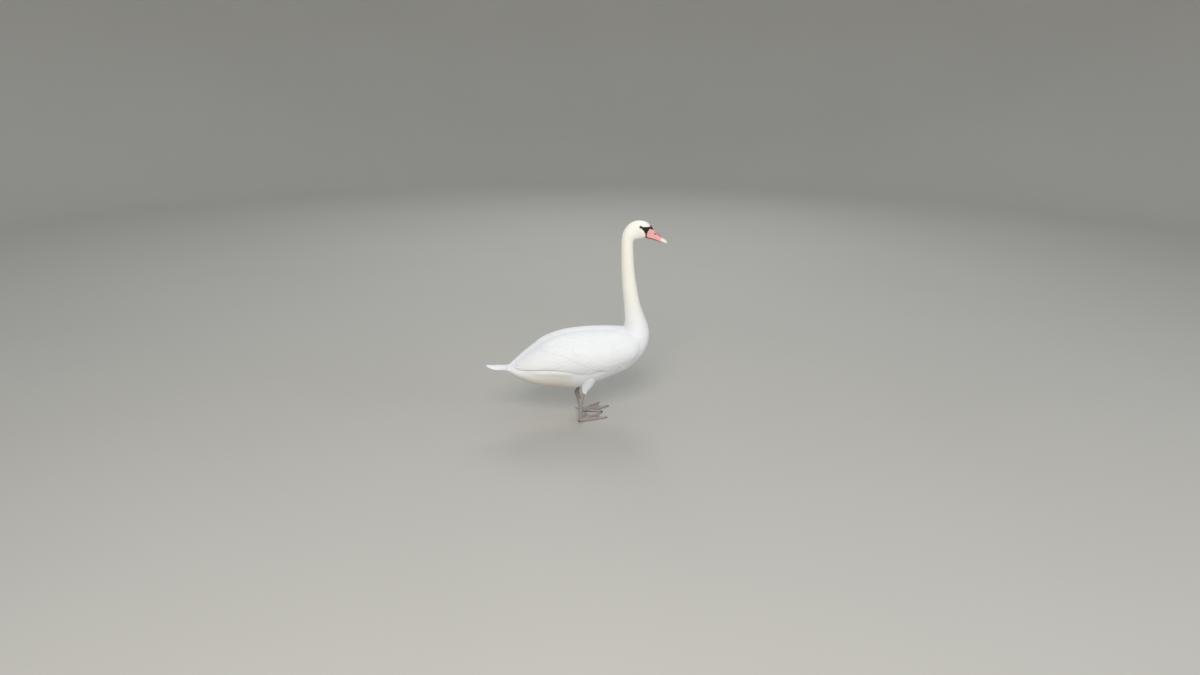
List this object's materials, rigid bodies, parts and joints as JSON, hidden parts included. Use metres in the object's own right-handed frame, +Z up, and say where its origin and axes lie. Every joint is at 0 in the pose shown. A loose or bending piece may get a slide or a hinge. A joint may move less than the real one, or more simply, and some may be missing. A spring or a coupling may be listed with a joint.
{
  "type": "mute swan",
  "caption": "Life-size standing mute swan with its neck raised, wings folded and both webbed feet flat on the ground, facing +X.",
  "frame": {"origin": "on the ground, at the middle of the bird's bounding box", "axes": "+X forward, from the tail to the bill; +Y to the bird's left; +Z up"},
  "size_m": [0.8515, 0.2964, 0.9294],
  "materials": {
    "plumage": "matte white feathers, warm on the neck and cool on the back",
    "bill_horn": "satin pink horn, pale towards the tip",
    "black_skin": "smooth bare black skin",
    "nail_horn": "dark satin horn",
    "eye": "wet dark brown eye",
    "leg_skin": "scaly pinkish grey skin",
    "claw_horn": "dull dark horn"
  },
  "bodies": {
    "root": {"trunk": "plumage", "tail": "plumage", "wing_right": "plumage", "wing_left": "plumage", "neck_lower": "plumage", "neck_middle": "plumage", "neck_upper": "plumage", "head": "plumage", "thigh_right": "plumage", "thigh_left": "plumage", "shin_right": "leg_skin", "tarsus_right": "leg_skin", "foot_right": "leg_skin", "shin_left": "leg_skin", "tarsus_left": "leg_skin", "foot_left": "leg_skin", "claw_right_inner": "claw_horn", "claw_right_middle": "claw_horn", "claw_right_outer": "claw_horn", "claw_right_hind": "claw_horn", "claw_left_inner": "claw_horn", "claw_left_middle": "claw_horn", "claw_left_outer": "claw_horn", "claw_left_hind": "claw_horn", "eye_right": "eye", "eye_left": "eye", "bill_upper": "bill_horn", "bill_lower": "bill_horn", "bill_knob": "black_skin", "bill_nail": "nail_horn"}
  },
  "joints": []
}
